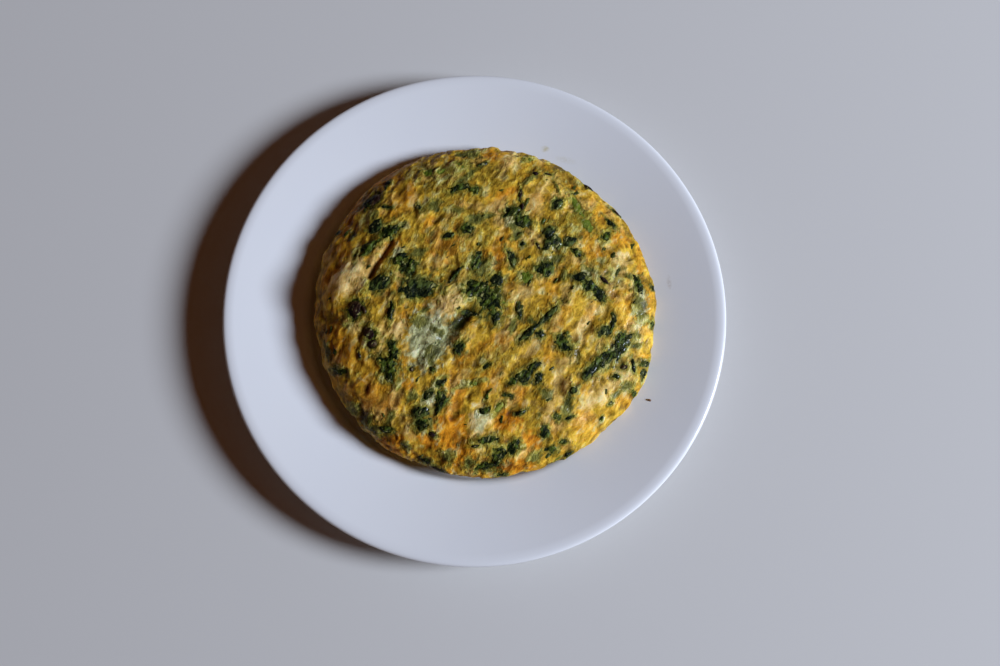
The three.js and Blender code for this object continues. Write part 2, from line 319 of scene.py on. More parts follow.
def eggPoint(way, angle):  # a point of the smooth form, so far down from the crown
    radius = float(np.interp(way, sectionWay, section[:, 0])) * outlineAt(angle) / egg["radius"]
    height = float(np.interp(way, sectionWay, section[:, 1]))
    rise = max(0.0, (height - egg["girth"]) / (egg["height"] - egg["girth"]))
    x = radius * math.cos(angle)
    return Vector((x, radius * math.sin(angle), height - egg["lean"] * x * rise))


def wayAt(x, y):  # how far down from the crown a point seen from above lies
    crown = egg["crownSteps"] + 1
    share = math.hypot(x, y) / outlineAt(math.atan2(y, x))
    inner = min(share, egg["steepFrom"]) * egg["radius"]
    way = float(np.interp(inner, section[:crown, 0], sectionWay[:crown]))
    return way + max(0.0, share - egg["steepFrom"]) * egg["radius"] * egg["steepWay"]


def outward(point):  # straight out of the smooth form
    level = math.hypot(point.x, point.y)
    if level < 1e-6:
        return Vector((0, 0, 1))
    reach = outlineAt(math.atan2(point.y, point.x))
    crown = egg["height"] - egg["girth"] - egg["lean"] * point.x
    rise = max(0.0, (point.z - egg["girth"]) / crown)
    steep = egg["flatness"] * min(level / reach, 1) ** (egg["flatness"] - 1) / reach
    flat = egg["shoulder"] * rise ** (egg["shoulder"] - 1) / crown
    down = -egg["tuckSlope"] * max(0.0, 1 - point.z / egg["girth"]) * steep
    leaned = flat * rise * egg["lean"]
    return Vector((steep * point.x / level + leaned, steep * point.y / level, flat + down)).normalized()


def scatterCurds():  # centre on the smooth form, radius, height
    curds = []
    for x, y, radius, height in egg["bigCurds"]:
        curds.append((eggPoint(wayAt(x, y), math.atan2(y, x)), radius, height))
    drawn = random.Random(egg["seed"])
    for count in range(egg["curdCount"]):
        way = drawn.uniform(0, 1) ** 0.5 * wayLength * egg["curdReach"]
        spot = eggPoint(way, drawn.uniform(0, 2 * math.pi))
        curds.append((spot, drawn.uniform(*egg["curdRadius"]), drawn.uniform(*egg["curdHeight"])))
    return curds


def makeTree(points):
    tree = KDTree(len(points))
    for index, point in enumerate(points):
        tree.insert(point, index)
    tree.balance()
    return tree


curds = scatterCurds()
curdTree = makeTree([curd[0] for curd in curds])


def alongGrain(offset, stretch, turn):  # the folds are drawn out from lower left to upper right
    turn = math.radians(turn)
    along = (offset.x * math.cos(turn) + offset.y * math.sin(turn)) * stretch
    across = offset.y * math.cos(turn) - offset.x * math.sin(turn)
    return Vector((along, across, offset.z))


def creaseDepth(point):
    cut = 0.0
    for x0, y0, x1, y1, width, depth in egg["creases"]:
        way = Vector((x1 - x0, y1 - y0))
        here = Vector((point.x - x0, point.y - y0))
        share = min(1, max(0, here.dot(way) / way.length_squared))
        distance = (here - way * share).length
        if distance < 3 * width:  # further out nothing of it is left
            cut += depth * math.exp(-(distance / width) ** 2)
    return cut


def bigRelief(point):  # the curds and creases, mm over the smooth form
    height = 0.0
    for spot, index, distance in curdTree.find_range(point, egg["curdSearch"]):
        centre, radius, rise = curds[index]
        away = alongGrain(point - centre, egg["curdStretch"], egg["grain"]).length
        height += rise * math.exp(-2 * (away / radius) ** 2)
    return height - creaseDepth(point)


# folds and grains of curd, from the largest: period in mm, stretch, shift of the noise, height in mm,
# share in the tone (painted shade in the hollows, painted light on the tops), and how much of it is kept
# where there are no greens
foldLayers = [
    {"period": 5.2, "stretch": 0.55, "shift": (31, 7, 2), "height": 0.85, "tone": 0.30, "kept": 1},
    {"period": 4.0, "stretch": 0.5, "shift": (0, 0, 0), "height": 0.40, "tone": 0.26, "kept": 1,
     "ridge": (0.65, 2.4)},
    {"period": 2.2, "stretch": 0.6, "shift": (3, 14, 8), "height": 0.52, "tone": 0.40, "kept": 0.5},
    {"period": 1.1, "stretch": 0.85, "shift": (5, 40, 9), "height": 0.20, "tone": 0.16, "kept": 0.4,
     "bent": False},
]
middleTone = 0.48


def fineRelief(point, greened):  # height in mm, and tone from hollows at 0 to tops at 1, which paints shade in the hollows and light on the tops
    bent = point + noise.noise_vector(point / egg["bendPeriod"]) * egg["bendReach"]
    height, tone = 0.0, middleTone
    for layer in foldLayers:
        start = bent if layer.get("bent", True) else point
        place = alongGrain(start, layer["stretch"], egg["fineGrain"])
        wave = noise.noise(place / layer["period"] + Vector(layer["shift"]))
        if "ridge" in layer:
            top, depth = layer["ridge"]
            wave = top - depth * abs(wave)
        wave *= layer["kept"] + (1 - layer["kept"]) * greened
        height += layer["height"] * wave
        tone += layer["tone"] * wave
    return height, tone


# the greens, seen from above: x, y from the omelette's centre, length and width in mm, turn in degrees
spinachLeaves = [  # matt dark leaf
    (-62, 57, 6.5, 5.5, 40), (-53, 53, 6.5, 2, -10), (-51, 39, 11, 6.5, 25), (-61, 30, 12.5, 5, 35),
    (-45, 23, 8.5, 6, 30), (-40, 19, 9, 9, 0), (-49, -6, 9, 3, 80), (-14, 63, 11.5, 3.5, 15),
    (-6, 62, 6.5, 4, -10), (-1, 78, 5.5, 2, 25), (-52, 68, 3.5, 2.5, -5), (-35, 52, 3.5, 2.5, -45),
    (-10, 40, 8, 5, 50), (-15, 15, 11, 2, 50), (-5, 22, 8.5, 5, 65), (-4, 7, 11, 10, 20),
    (2, 2, 16, 12, -70), (5, -7, 8.5, 4, -80), (-79, 41, 3, 2.5, 20), (15, 50, 8, 5, 25),
    (18, 46, 7.5, 5.5, -30), (22, 45, 7.5, 5, -25), (20, 32, 3, 2.5, 0), (31, 45, 3.5, 2, 60),
    (49, 28, 6, 3.5, -25), (31, 19, 8.5, 7, 30), (68, 46, 7, 2.5, -45), (65, 38, 7.5, 4, 65),
    (55, 10, 10, 6, -50), (60, 6, 8.5, 5, -40), (82, 12, 9, 4, -70), (90, 11, 3.5, 2.5, -70),
    (18, -4, 8.5, 2.5, -80), (68, -7, 5, 2, -70), (-48, -23, 6, 5, 60), (-47, -28, 5.5, 5, 30),
    (-50, -35, 12.5, 7, -70), (-13, -24, 6, 5.5, 60), (-27, -36, 3.5, 2.5, 0), (-76, -35, 8.5, 3.5, -15),
    (-51, -66, 5.5, 4, -30), (-23, -43, 6, 3.5, 30), (-29, -49, 7, 3, 40), (-23, -50, 5, 5, 0),
    (-23, -55, 8, 3.5, 50), (-32, -64, 8, 5, 15), (-30, -82, 5, 2.5, -20), (1, -34, 4, 2.5, 50),
    (1, -50, 4, 2, 80), (0, -57, 6, 3, 20), (1, -72, 9.5, 3.5, 5), (0, -85, 8, 3, 15),
    (20, -39, 8.5, 6, 30), (25, -34, 6.5, 3.5, 40), (28, -40, 6, 4, -70), (15, -42, 4.5, 3.5, 20),
    (42, -22, 11, 6.5, -40), (29, -17, 5, 3.5, -50), (67, -11, 9.5, 2.5, 80), (72, -19, 10, 7, 40),
    (68, -25, 13, 7.5, 45), (60, -31, 12, 6, 35), (69, -38, 4, 2.5, 5), (38, -60, 4, 3, -30),
    (44, -60, 4, 2, 20), (12, -49, 5, 2, -10), (31, -67, 7, 4, -70), (15, -75, 7.5, 5.5, 50),
    (7, -79, 10, 5.5, 70), (2, -85, 8.5, 3, 10), (35, -76, 6, 3.5, -20), (41, -72, 3.5, 2.5, 0),
    (44, -79, 4.5, 2.5, 40), (78, -46, 3.5, 2.5, -40), (85, -30, 6, 3, 10), (89, -9, 4.5, 2.5, 80),
    (83, -36, 6.5, 1.5, 70), (66, -52, 3.5, 2, 30), (61, -60, 3, 1.5, 70), (9, -89, 4.5, 1.5, 5),
]
wetLeaves = [  # dark leaf with a wet shine
    (-58, 42, 8, 6.5, 25), (-55, 10, 11.5, 7, 25), (-34, 7, 18.5, 10, 5), (-19, 36, 6.5, 3, 20),
    (6, 12, 7, 6.5, 0), (-8, -6, 7.5, 3.5, -10), (14, 24, 9, 4, -70), (34, 39, 6.5, 5.5, 45),
    (37, 34, 8.5, 6, -50), (33, 32, 8, 4, 70), (45, 34, 7.5, 5, 15), (39, 55, 6.5, 5, 35),
    (50, 14, 7, 5, 0), (34, -6, 16, 3.5, 45), (23, -16, 13, 3.5, 45), (-33, -58, 8, 7, 0),
    (63, -14, 7, 5, 20), (55, -36, 8.5, 5, 40), (78, -32, 7, 2.5, -80), (46, -46, 4, 3.5, 0),
    (19, -58, 5.5, 2, 20),
]
fadedLeaves = [  # leaf just under the skin
    (-37, 12, 9.5, 4, 5), (-9, 71, 13, 2.5, 40), (-8, 85, 8.5, 4, 0), (-60, 49, 4.5, 3, 30),
    (-15, 50, 4.5, 3, -20), (-5, 45, 8.5, 4, 20), (1, 47, 7, 2.5, 10), (-1, 19, 10, 5, 65),
    (-71, 37, 4.5, 2.5, 70), (-34, -11, 7, 6, 0), (-32, -5, 5, 2, 25), (-27, 53, 7, 5.5, 30),
    (-35, 26, 7.5, 4, 25), (24, 69, 8.5, 2, 45), (15, 42, 5, 4, 0), (17, 37, 6, 3.5, 60),
    (38, 24, 7, 4, 30), (39, 64, 7, 1, -75), (56, 18, 7.5, 2, -20), (77, 16, 3.5, 2, 5),
    (82, 0, 11.5, 5, -85), (42, 15, 5.5, 2.5, 80), (24, -10, 4, 3, 30), (15, -13, 6.5, 2.5, 75),
    (-24, -16, 7, 3.5, -10), (-28, -28, 9, 6.5, 80), (-83, -24, 8.5, 2, -70), (-68, -55, 7.5, 4, -40),
    (-61, -61, 6, 4, -30), (-56, -66, 8.5, 3.5, -30), (-49, -61, 7, 2.5, 65), (-37, -50, 4.5, 3, 0),
    (-41, -74, 4, 3, -30), (-19, -80, 5, 4, -40), (-8, -83, 4.5, 3.5, 30), (44, -50, 5.5, 2, 80),
    (43, -55, 10, 4, 75), (31, -48, 5, 4, -30), (26, -80, 6, 4, 20), (74, -43, 5.5, 3, 30),
    (69, -47, 6, 2.5, 45), (80, -16, 4.5, 3, 60), (80, -21, 5, 2, 15), (-13, -11, 9, 5, 45),
]
purpleLeaves = [  # purple black bits
    (-59, 58, 8, 6, 62), (-68, -4, 10, 7.5, 80), (-63, -4, 5, 2.5, -60), (27, 73, 3.5, 2.5, 5),
    (34, 73, 4, 1.5, 5), (19, 60, 6, 2, 80), (20, 53, 4.5, 2, 85), (28, 31, 4.5, 2, -60),
    (63, 13, 7, 2.5, -35), (57, 68, 8.5, 2, -35), (71, 53, 8.5, 1.5, -40), (-60, -17, 8, 6.5, -60),
    (-58, -22, 5, 5, -5), (-38, -36, 3, 2.5, 0), (-65, -28, 3.5, 1.5, -75), (-27, -69, 4.5, 2.5, -30),
    (-25, -85, 7.5, 2, -25), (-5, -75, 4, 1.5, 10), (73, -33, 4.5, 3, 5),
]
herbPieces = [  # light green bits
    (-13, 76, 8, 5.5, 15), (-26, 74, 12.5, 4, 5), (23, 82, 5.5, 3, 15), (49, 55, 11.5, 3.5, -70),
    (53, 47, 11, 5.5, -60), (22, 14, 7, 5, 20), (10, -1, 3.5, 3, 0), (-6, -43, 12, 2.5, 15),
    (7, -56, 7.5, 3, 50), (37, -83, 7.5, 2, 20),
]

# zones of the skin: x, y, length and width in mm, turn in degrees, strength
# pan browning; along the left flank, x below -70, the spots are also painted warm shade of that side
brownedSpots = [
    (-50, 74, 30, 14, 40, 0.63), (-66, 58, 16, 9, 50, 0.52), (-40, 61, 14, 7, 80, 0.58),
    (-22, 81, 14, 6, 10, 0.41), (3, 83, 14, 10, 0, 0.63), (12, 61, 18, 7, 20, 0.63),
    (-15, 56, 6, 6, 0, 0.36), (42, 73, 10, 6, -30, 0.52), (58, 60, 9, 8, 0, 0.36),
    (30, 58, 12, 8, -20, 0.3), (72, 38, 14, 13, 0, 0.63), (62, 28, 14, 7, 70, 0.52),
    (83, 20, 12, 5, 90, 0.58), (-30, 42, 14, 6, 60, 0.7), (-20, 31, 28, 18, 10, 0.8),
    (-15, 42, 6, 4, 0, 0.41), (-53, 25, 16, 5, 65, 0.58), (-44, 33, 12, 5, 10, 0.58),
    (-56, 48, 8, 5, 40, 0.41), (-72, 50, 24, 10, 70, 0.47), (-74, 30, 22, 10, 80, 0.47),
    (8, 26, 15, 6, 80, 0.65), (14, 8, 18, 6, 80, 0.47), (36, 9, 9, 7, 60, 0.36), (68, 6, 12, 5, 75, 0.41),
    (56, -5, 12, 7, 60, 0.41), (44, -4, 8, 4, 50, 0.3), (-42, -8, 14, 6, 70, 0.47),
    (-72, -3, 20, 7, 0, 0.52), (-73, -26, 20, 17, 80, 0.63), (-75, 8, 12, 8, 90, 0.36),
    (-8, -12, 12, 6, 20, 0.36), (3, -23, 28, 9, 25, 0.58), (-10, -31, 12, 8, 40, 0.52),
    (33, -26, 14, 6, 80, 0.41), (84, -27, 8, 6, 0, 0.52), (79, -42, 7, 6, 0, 0.47),
    (-42, -43, 16, 9, -25, 0.63), (-55, -50, 32, 15, -25, 0.63), (-52, -59, 8, 5, 0, 0.52),
    (-14, -52, 20, 9, 80, 0.63), (-22, -67, 32, 22, 0, 1), (-12, -80, 24, 12, 0, 1),
    (18, -48, 14, 9, 65, 0.63), (12, -62, 15, 13, 0, 1), (24, -73, 15, 12, 10, 1), (15, -84, 32, 8, 5, 1),
    (50, -45, 14, 10, 20, 0.36), (52, -62, 22, 16, 60, 0.47), (70, -50, 18, 6, 30, 0.3),
    (-48, -72, 22, 10, -35, 1), (40, -74, 12, 8, 30, 0.36), (5, -44, 16, 4, 30, 0.36),
    (7, 34, 5, 4, 0, 0.47), (85, -12, 12, 9, 90, 0.36),
]
palePatches = [  # fish or white egg close under the skin
    (-71, 14, 24, 17, 60, 1.0), (-20, -3, 24, 15, 40, 1.0), (-10, 9, 10, 7, 40, 0.5),
    (-2, -62, 17, 12, 70, 1.0), (71, 25, 12, 10, 0, 0.9), (20, 6, 16, 10, 20, 0.5), (-25, 70, 9, 6, 0, 0.8),
    (10, 70, 7, 5, 0, 0.6), (-28, -50, 10, 9, 0, 0.8), (-14, 50, 8, 6, 0, 0.6), (-30, 52, 9, 5, 0, 0.5),
    # (-46, 27) here is a painted highlight on a fold of egg next to a leaf
    (10, 42, 8, 6, 60, 0.6), (18, 50, 15, 10, 70, 0.6), (34, 33, 12, 10, 0, 0.5), (-46, 27, 8, 5, 60, 0.9),
    (-45, -16, 16, 10, 80, 0.9), (82, 3, 16, 8, 90, 0.6), (72, -45, 12, 8, 30, 0.5),
    (33, -48, 9, 6, 30, 0.5), (43, -42, 12, 4, 60, 0.5), (48, -20, 10, 8, 0, 0.5),
    (27, -23, 12, 5, 70, 0.6), (-48, -8, 8, 5, 60, 0.5), (-65, 27, 7, 5, 0, 0.5), (-10, -37, 8, 5, 0, 0.5),
    (-62, -58, 14, 6, -40, 0.6), (50, -12, 16, 6, 50, 0.5), (38, -62, 12, 6, 50, 0.4),
    (78, -14, 15, 10, 90, 0.8), (58, -50, 22, 10, 30, 0.6), (20, -78, 20, 6, 0, 0.4),
    (-77, -30, 14, 9, 90, 0.4), (-40, -62, 14, 8, -30, 0.5), (-24, 6, 12, 6, 0, 0.6),
]
oliveZones = [  # egg with leaf stirred into it, where the eye sees no single piece
    (-20, 70, 20, 9, 5, 0.55), (30, 74, 14, 4, -30, 0.4), (-30, 75, 24, 8, 10, 0.4),
    (30, -9, 14, 7, 45, 0.5), (68, -20, 14, 8, 90, 0.5), (18, 44, 10, 8, 90, 0.4), (-64, 48, 8, 8, 0, 0.4),
    (0, -80, 14, 4, 0, 0.4), (-18, 61, 16, 10, 0, 0.4), (46, 44, 10, 10, 0, 0.5), (-16, 46, 14, 8, 20, 0.4),
    (-18, 34, 32, 12, 10, 0.45), (-2, 73, 26, 8, 0, 0.4), (62, 15, 14, 12, 0, 0.6),
    (-46, 16, 14, 12, 0, 0.5), (-12, 18, 20, 10, 40, 0.4), (44, 74, 14, 8, -30, 0.5),
    (0, -32, 16, 8, 20, 0.4),
]
goldenZones = [  # where the skin is lighter; on the right, the side the light falls on, they are also painted highlight
    (80, -16, 36, 20, 90, 1.0), (66, -50, 36, 18, 30, 0.9), (50, -64, 24, 12, 30, 0.6),
    (80, 14, 20, 12, 90, 0.5), (-46, -16, 14, 14, 0, 0.5), (-16, -2, 16, 12, 40, 0.8),
    (-76, 14, 22, 14, 80, 0.8), (30, 13, 12, 10, 0, 0.6), (-42, -52, 28, 18, -30, 0.6),
    (16, -77, 22, 8, 0, 0.7), (-74, -32, 16, 14, 0, 0.6),
]
greyFilms = [  # leaf under a skin of egg, pale grey green
    (-29, -20, 31, 24, 75, 1.0), (-2, -62, 15, 8, 70, 0.65), (-28, -50, 8, 7, 0, 0.8),
    # (-46, 27) here is a painted highlight on a fold of egg next to a leaf
    (-46, 27, 7, 4, 60, 0.8), (84, 4, 14, 6, 90, 0.5), (13, 44, 9, 6, 60, 0.5), (56, 16, 10, 7, 0, 0.4),
    (33, -49, 8, 5, 30, 0.4),
]

leafSpots = spinachLeaves + wetLeaves + purpleLeaves
greenSpots = leafSpots + fadedLeaves + herbPieces + oliveZones
# spots, how many mm around they are searched, and where their edge starts and ends as shares of their size
eggZones = {
    "greened": (greenSpots, 26, 0.8, 2.4), "leafy": (leafSpots, 15, 0.75, 1.2),
    "faded": (fadedLeaves, 15, 0.7, 1.4), "browned": (brownedSpots, 24, 0.5, 1.3),
    "pale": (palePatches, 24, 0.4, 1.4), "filmed": (greyFilms, 24, 0.55, 1.25),
    "golden": (goldenZones, 28, 0.3, 1.4),
}
zoneEdge = {"broad": 0.55, "broadPeriod": 3.2, "fine": 0.35, "finePeriod": 1.3}  # how ragged, periods in mm


def insideOval(x, y, spot):  # 0 in the middle, 1 at the edge
    dx = x - spot[0]
    dy = y - spot[1]
    turn = math.radians(spot[4])
    along = (dx * math.cos(turn) + dy * math.sin(turn)) / (spot[2] / 2)
    across = (dy * math.cos(turn) - dx * math.sin(turn)) / (spot[3] / 2)
    return math.hypot(along, across)


def nearSpots(point, tree, spots, reach, innerEdge, outerEdge):  # how much a place belongs to any spot
    most = 0.0
    for centre, index, distance in tree.find_range((point.x, point.y, 0), reach):
        spot = spots[index]
        strength = spot[5] if len(spot) > 5 else 1.0
        broad = noise.noise(point / zoneEdge["broadPeriod"] + Vector((index, 0, 0)))
        fine = noise.noise(point / zoneEdge["finePeriod"])
        ragged = 1 + zoneEdge["broad"] * broad + zoneEdge["fine"] * fine
        most = max(most, strength * smooth(outerEdge, innerEdge, insideOval(point.x, point.y, spot) * ragged))
    return most


def onDisc(u, v):  # the square drawn to a disc
    return u * math.sqrt(1 - v * v / 2), v * math.sqrt(1 - u * u / 2)


def shapeEgg(bm):  # lays the flat grid over the smooth form, raises its relief and gives its values
    trees = {name: makeTree([(spot[0], spot[1], 0) for spot in zone[0]]) for name, zone in eggZones.items()}
    values = {name: [] for name in ("curd", *eggZones)}
    fadeLow, fadeHigh = [egg["girth"] * share for share in egg["reliefFade"]]
    for vert in bm.verts:
        x, y = onDisc(vert.co.x, vert.co.y)
        point = eggPoint(min(1, math.hypot(x, y)) * wayLength, math.atan2(y, x))
        here = {name: nearSpots(point, trees[name], *zone) for name, zone in eggZones.items()}
        fine, tone = fineRelief(point, here["greened"])
        # painted shade: the creases darken the curd value
        here["curd"] = tone - egg["creaseShade"] * creaseDepth(point)
        calm = 1 - max(egg["calmLeafy"] * here["leafy"], egg["calmFilmed"] * here["filmed"])
        rise = (bigRelief(point) + fine * calm) * smooth(fadeLow, fadeHigh, point.z)
        vert.co = point + outward(point) * rise
        for name, value in here.items():
            values[name].append(value)
    return values


def closeUnder(bm):  # rings on the plate, in to the middle of the flat underside
    rim = [edge for edge in bm.edges if edge.is_boundary]
    for share in egg["underRings"]:
        made = bmesh.ops.extrude_edge_only(bm, edges=rim)["geom"]
        ring = [item for item in made if isinstance(item, bmesh.types.BMVert)]
        rim = [item for item in made if isinstance(item, bmesh.types.BMEdge) and item.is_boundary]
        for vert in ring:
            flat = Vector((vert.co.x, vert.co.y, 0)).normalized()
            vert.co = flat * egg["base"] * share
    bmesh.ops.pointmerge(bm, verts=ring, merge_co=(0, 0, 0))


def placeEgg(bm):  # from mm round the omelette's own centre to metres on the plate
    place = Matrix.Translation((egg["centre"][0] * mm, egg["centre"][1] * mm, eggLow.z))
    bmesh.ops.transform(bm, matrix=place @ Matrix.Scale(mm, 4), verts=bm.verts)


def makeEgg():
    bm = bmesh.new()
    steps = egg["gridSteps"]
    bmesh.ops.create_grid(bm, x_segments=steps, y_segments=steps, size=1)
    values = shapeEgg(bm)
    closeUnder(bm)
    placeEgg(bm)
    bmesh.ops.recalc_face_normals(bm, faces=bm.faces)
    under = [0.0] * (len(bm.verts) - len(values["curd"]))  # the points of the underside come last
    piece = addPiece("eggBody", bm, makeEggMaterial())
    for name, numbers in values.items():
        addValues(piece, name, numbers + under)
    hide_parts("omelette")


def makeGrainGroup():  # noise that is drawn out along the folds, its period in mm
    inputs = {"Place": "Vector", "Period": "Float", "Stretch": "Float", "Detail": "Float",
              "Roughness": "Float"}
    group, given = newGroup("foldGrain", inputs, {"Grain": "Float"})
    across = mathNode(group, "MULTIPLY", given["Period"], mm)
    along = mathNode(group, "MULTIPLY", across, given["Stretch"])
    size = addNode(group, "ShaderNodeCombineXYZ", {"X": along, "Y": across, "Z": across})
    turned = addNode(group, "ShaderNodeMapping", {
        "Vector": given["Place"], "Scale": size.outputs[0],
        "Rotation": (0, 0, math.radians(egg["fineGrain"])),
    }, vector_type="TEXTURE")
    waves = addNode(group, "ShaderNodeTexNoise", {
        "Vector": turned.outputs[0], "Scale": 1.0, "Detail": given["Detail"], "Roughness": given["Roughness"],
    })
    addNode(group, "NodeGroupOutput", {"Grain": waves.outputs["Fac"]})
    return group


grainGroup = makeGrainGroup()


def grainNoise(tree, place, period, stretch, detail=2, rough=0.5):
    return addNode(tree, "ShaderNodeGroup", {
        "Place": place, "Period": period, "Stretch": stretch, "Detail": detail, "Roughness": rough,
    }, node_tree=grainGroup).outputs["Grain"]


eggTones = {  # each from hollows to the tops of the curds, as painted shade in the hollows and painted light on the tops
    "yellow": [(0.10, 0.052, 0.004), (0.29, 0.165, 0.012), (0.60, 0.355, 0.028), (0.92, 0.580, 0.060),
               (0.98, 0.75, 0.20)],
    "browned": [(0.10, 0.027, 0.002), (0.32, 0.100, 0.004), (0.66, 0.245, 0.010), (0.94, 0.41, 0.024),
                (0.98, 0.58, 0.07)],
    "greened": [(0.030, 0.021, 0.002), (0.103, 0.074, 0.006), (0.24, 0.187, 0.020), (0.44, 0.385, 0.065),
                (0.75, 0.68, 0.24)],
    "pale": [(0.20, 0.12, 0.026), (0.45, 0.28, 0.07), (0.76, 0.50, 0.16), (0.97, 0.71, 0.29),
             (0.98, 0.86, 0.46)],
    "filmed": [(0.07, 0.075, 0.030), (0.29, 0.29, 0.13), (0.56, 0.56, 0.28), (0.82, 0.80, 0.48),
               (0.96, 0.94, 0.68)],
    "leafy": [(0.002, 0.006, 0.0006), (0.010, 0.016, 0.001), (0.030, 0.040, 0.003), (0.080, 0.095, 0.010),
              (0.27, 0.26, 0.04)],
    "faded": [(0.020, 0.024, 0.003), (0.058, 0.062, 0.010), (0.14, 0.135, 0.024), (0.27, 0.25, 0.05),
              (0.56, 0.49, 0.15)],
}
toneStops = (0.0, 0.28, 0.52, 0.74, 1.0)
eggLook = {
    "wanderScale": 160, "wander": 0.0045,  # how far the grain is bent, in metres
    "grains": {  # period in mm, stretch, detail, roughness
        "patch": (14, 1.8), "mottle": (4.2, 2.0), "strand": (1.5, 2.4), "grit": (0.8, 1.8, 1),
        "fleck": (2.4, 2.2, 3, 0.6), "drift": (9, 1.6),
    },
    "grainRange": (0.3, 0.7), "gritRange": (0.35, 0.65),
    "curdTone": 0.48, "mottleTone": 0.27, "strandTone": 0.18, "gritTone": 0.08, "goldenTone": 0.12,
    "toneRange": (0.15, 0.90),
    "orange": (0.50, 0.64, 0, 0.45), "creamy": (0.52, 0.66, 0, 0.7),  # from, to, and how strong from, to
    "speckled": (0.54, 0.66, 0, 0.9), "nearGreens": (0, 0.6, 0.3, 1),  # threads of leaf
    "zones": {"browned": (0.15, 0.85), "pale": (0.15, 0.85), "greened": (0.05, 0.75),
              "filmed": (0.1, 0.9), "faded": (0.25, 0.9), "leafy": (0.35, 0.65)},
    "zoneRagged": 0.3, "zoneStrength": 0.95,
    "roughness": (0.42, 0.62), "wet": (0.50, 0.62, 0, 0.35), "wetFilm": 0.35, "coatRoughness": 0.24,
    "specular": 0.08, "glow": 0.25, "glowRadius": (1.0, 0.55, 0.15), "glowDepth": 0.0015,
    "strandBump": 0.5, "gritBump": 0.4, "bumpDepth": 0.0013,
}


def toneRamp(tree, tone, name):
    ramp = addNode(tree, "ShaderNodeValToRGB", {"Fac": tone})
    stops = ramp.color_ramp.elements
    for index, (at, colour) in enumerate(zip(toneStops, eggTones[name])):
        stop = stops[index] if index < 2 else stops.new(at)
        stop.position, stop.color = at, colour + (1,)
    return ramp.outputs[0]


def wanderingPlace(tree, place):  # bends the grain a little
    waves = addNode(tree, "ShaderNodeTexNoise",
                    {"Vector": place, "Scale": eggLook["wanderScale"], "Detail": 2})
    swirl = addNode(tree, "ShaderNodeVectorMath", {0: waves.outputs["Color"], 1: (0.5, 0.5, 0.5)},
                    operation="SUBTRACT")
    shift = addNode(tree, "ShaderNodeVectorMath", {0: swirl.outputs[0], "Scale": eggLook["wander"]},
                    operation="SCALE")
    return addNode(tree, "ShaderNodeVectorMath", {0: place, 1: shift.outputs[0]}, operation="ADD").outputs[0]


def makeEggMaterial():
    material, tree, shader = newMaterial("cookedEgg")
    look = eggLook
    place = wanderingPlace(tree, objectPlace(tree))
    grains = [grainNoise(tree, place, *grain) for grain in look["grains"].values()]
    patch, mottle, strand, grit, fleck, drift = grains
    # the curd value, and the strands and grit that also raise the bump, make the tone follow the relief:
    # painted shade low, painted light high
    tone = mapValue(tree, weightedSum(tree, [
        (readValue(tree, "curd"), look["curdTone"]),
        (mapValue(tree, mottle, *look["grainRange"]), look["mottleTone"]),
        (mapValue(tree, strand, *look["grainRange"]), look["strandTone"]),
        (mapValue(tree, grit, *look["gritRange"]), look["gritTone"]),
        (readValue(tree, "golden"), look["goldenTone"]),
    ]), *look["toneRange"])
    colour = toneRamp(tree, tone, "yellow")
    colour = mixColour(tree, mapValue(tree, patch, *look["orange"]), colour, toneRamp(tree, tone, "browned"))
    colour = mixColour(tree, mapValue(tree, drift, *look["creamy"]), colour, toneRamp(tree, tone, "pale"))
    for name, (low, high) in look["zones"].items():
        uneven = mapValue(tree, mottle, *look["grainRange"], -look["zoneRagged"], look["zoneRagged"])
        ragged = mathNode(tree, "ADD", readValue(tree, name), uneven)
        share = mapValue(tree, ragged, low, high, 0, look["zoneStrength"])
        colour = mixColour(tree, share, colour, toneRamp(tree, tone, name))
    nearGreens = mapValue(tree, readValue(tree, "greened"), *look["nearGreens"])
    speckled = mathNode(tree, "MULTIPLY", mapValue(tree, fleck, *look["speckled"]), nearGreens)
    colour = mixColour(tree, speckled, colour, toneRamp(tree, tone, "faded"))
    wet = mathNode(tree, "MULTIPLY", mapValue(tree, grit, *look["wet"]), nearGreens)
    wetFilm = mathNode(tree, "MULTIPLY", readValue(tree, "filmed"), look["wetFilm"])
    height = weightedSum(tree, [(strand, look["strandBump"]), (grit, look["gritBump"])])
    setInputs(tree, shader, {
        "Base Color": colour, "Roughness": mapValue(tree, mottle, *look["grainRange"], *look["roughness"]),
        "Coat Weight": mathNode(tree, "MAXIMUM", wet, wetFilm), "Coat Roughness": look["coatRoughness"],
        "Specular IOR Level": look["specular"], "Subsurface Weight": look["glow"],
        "Subsurface Radius": look["glowRadius"], "Subsurface Scale": look["glowDepth"],
        "Normal": bumpNode(tree, mathNode(tree, "MULTIPLY", height, nearGreens), 1.0, look["bumpDepth"]),
    })
    return material


# greens: wilted bits that lie in the egg, their edges sink under its skin

